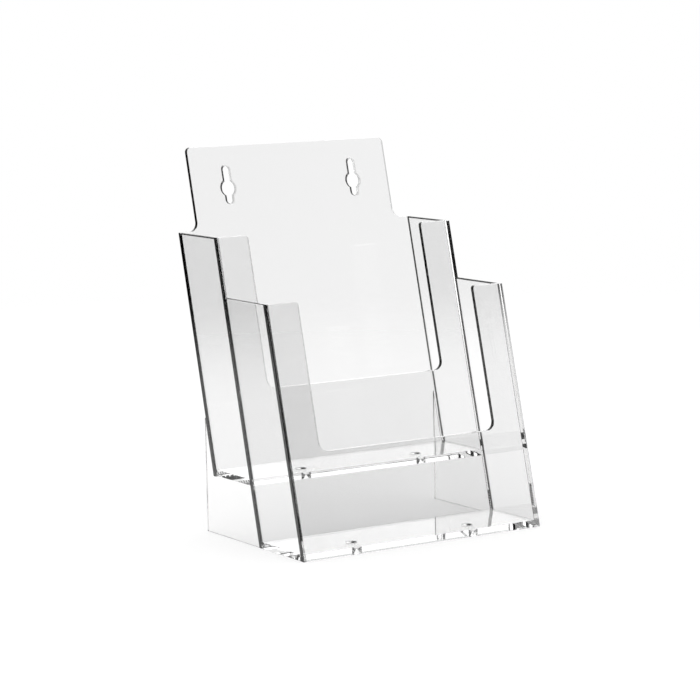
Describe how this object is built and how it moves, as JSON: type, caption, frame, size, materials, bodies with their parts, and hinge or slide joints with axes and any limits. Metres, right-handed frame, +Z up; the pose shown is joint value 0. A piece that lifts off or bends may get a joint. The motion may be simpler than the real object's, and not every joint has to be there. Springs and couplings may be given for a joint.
{
  "type": "tabletop magazine rack",
  "caption": "Clear freestanding rack for A5 leaflets and small magazines, with stepped slanted pockets, cut-away fronts, keyholes for hanging and side plates that prop it up.",
  "frame": {"origin": "centre of the bounding box on the table", "axes": "+X to the rack's left as it faces -Y, which is to the right for someone looking at its front; +Y to its back; +Z up"},
  "size_m": [0.16, 0.1448, 0.2201],
  "materials": {
    "clear_plastic": "polished, clear, see-through"
  },
  "bodies": {
    "root": {"front_panel": "clear_plastic", "middle_panel": "clear_plastic", "back_panel": "clear_plastic", "front_floor": "clear_plastic", "rear_floor": "clear_plastic", "front_pocket_left_side": "clear_plastic", "front_pocket_right_side": "clear_plastic", "rear_pocket_left_side": "clear_plastic", "rear_pocket_right_side": "clear_plastic", "stand_left_side": "clear_plastic", "stand_right_side": "clear_plastic"}
  },
  "joints": []
}
